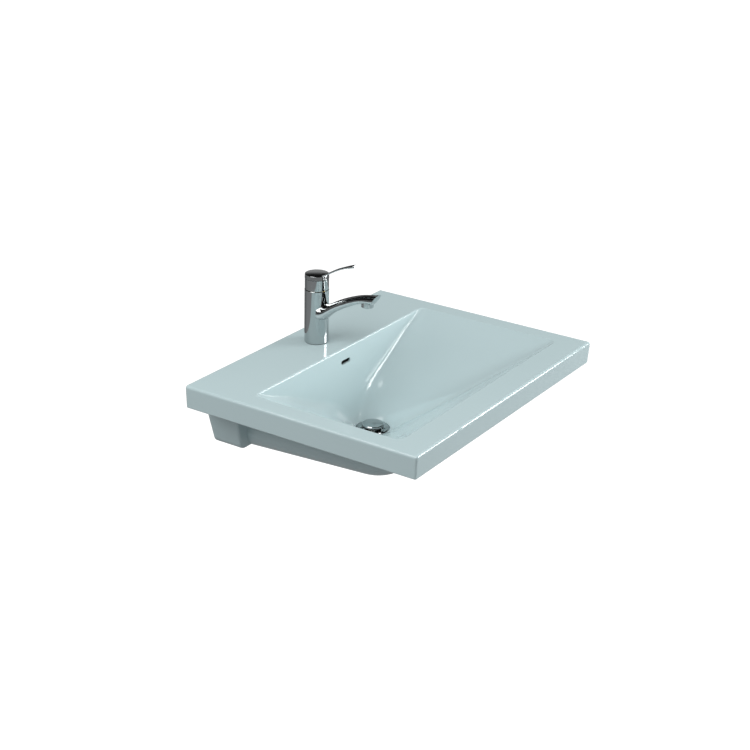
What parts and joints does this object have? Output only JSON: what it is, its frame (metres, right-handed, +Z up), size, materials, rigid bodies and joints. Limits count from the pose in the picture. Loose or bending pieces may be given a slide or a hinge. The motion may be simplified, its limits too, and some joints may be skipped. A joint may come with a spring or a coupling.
{
  "type": "wall-hung basin",
  "caption": "Rectangular wall-hung ceramic basin with a sloping hopper bowl, overflow slot, raised click plug waste and a chrome lever mixer tap on the rear deck.",
  "frame": {"origin": "on the wall plane, midway between the two wall fixing holes, 90 mm below the rim", "axes": "+X to the right seen from the front, +Y into the wall so the basin's front faces -Y, +Z up"},
  "size_m": [0.6494, 0.4997, 0.4131],
  "materials": {
    "ceramic": "glossy glaze",
    "chrome": "polished",
    "brass": "machined",
    "steel": "zinc plated",
    "rubber": "matte",
    "seal_grey": "matte",
    "plastic_white": "moulded",
    "plastic_grey": "moulded",
    "disc_ceramic": "lapped"
  },
  "bodies": {
    "basin_and_fittings": {"basin": "ceramic", "tap_body": "chrome", "cartridge_sleeve": "chrome", "aerator_housing": "chrome", "waste_body": "chrome", "tap_base_gasket": "rubber", "tap_shoe_rubber": "rubber", "waste_top_seal": "rubber", "waste_lower_seal": "rubber", "cartridge_seals": "seal_grey", "aerator_seal": "seal_grey", "tap_shoe_plate": "steel", "tap_stud": "steel", "tap_stud_nut": "brass", "waste_back_nut": "brass", "cartridge_nut": "brass", "click_spring": "steel", "waste_slip_washer": "plastic_white", "click_housing": "plastic_white", "aerator_insert": "plastic_white", "cartridge_housing": "plastic_grey", "fixed_disc": "disc_ceramic"},
    "rotor": {"cartridge_rotor": "plastic_white", "spindle_pin": "steel"},
    "handle": {"lever": "chrome", "spindle": "brass", "lever_grub_screw": "steel", "lever_screw_cover": "plastic_grey"},
    "control_disc": {"moving_disc": "disc_ceramic", "disc_carrier": "plastic_grey"},
    "plug": {"plug_cap": "chrome", "plug_seal": "seal_grey", "click_plunger": "plastic_white"}
  },
  "joints": [
    {"name": "handle_swivel", "type": "hinge", "parent": "basin_and_fittings", "child": "rotor", "pos_m": [0, -0.061, 0.21], "axis": [0, 0, 1], "range_deg": [-45, 45]},
    {"name": "lever_tilt", "type": "hinge", "parent": "rotor", "child": "handle", "pos_m": [0, -0.061, 0.21], "axis": [-1, 0, 0], "range_deg": [0, 16]},
    {"name": "disc_slide", "type": "slide", "parent": "rotor", "child": "control_disc", "axis": [0, -1, 0], "range_m": [0, 0.0052]},
    {"name": "plug_slide", "type": "slide", "parent": "basin_and_fittings", "child": "plug", "axis": [0, 0, -1], "range_m": [0, 0.009], "deforming": ["click_spring"]}
  ],
  "couplings": [
    {"joint": "disc_slide", "follows": "lever_tilt", "m_per_rad": 0.01816}
  ]
}
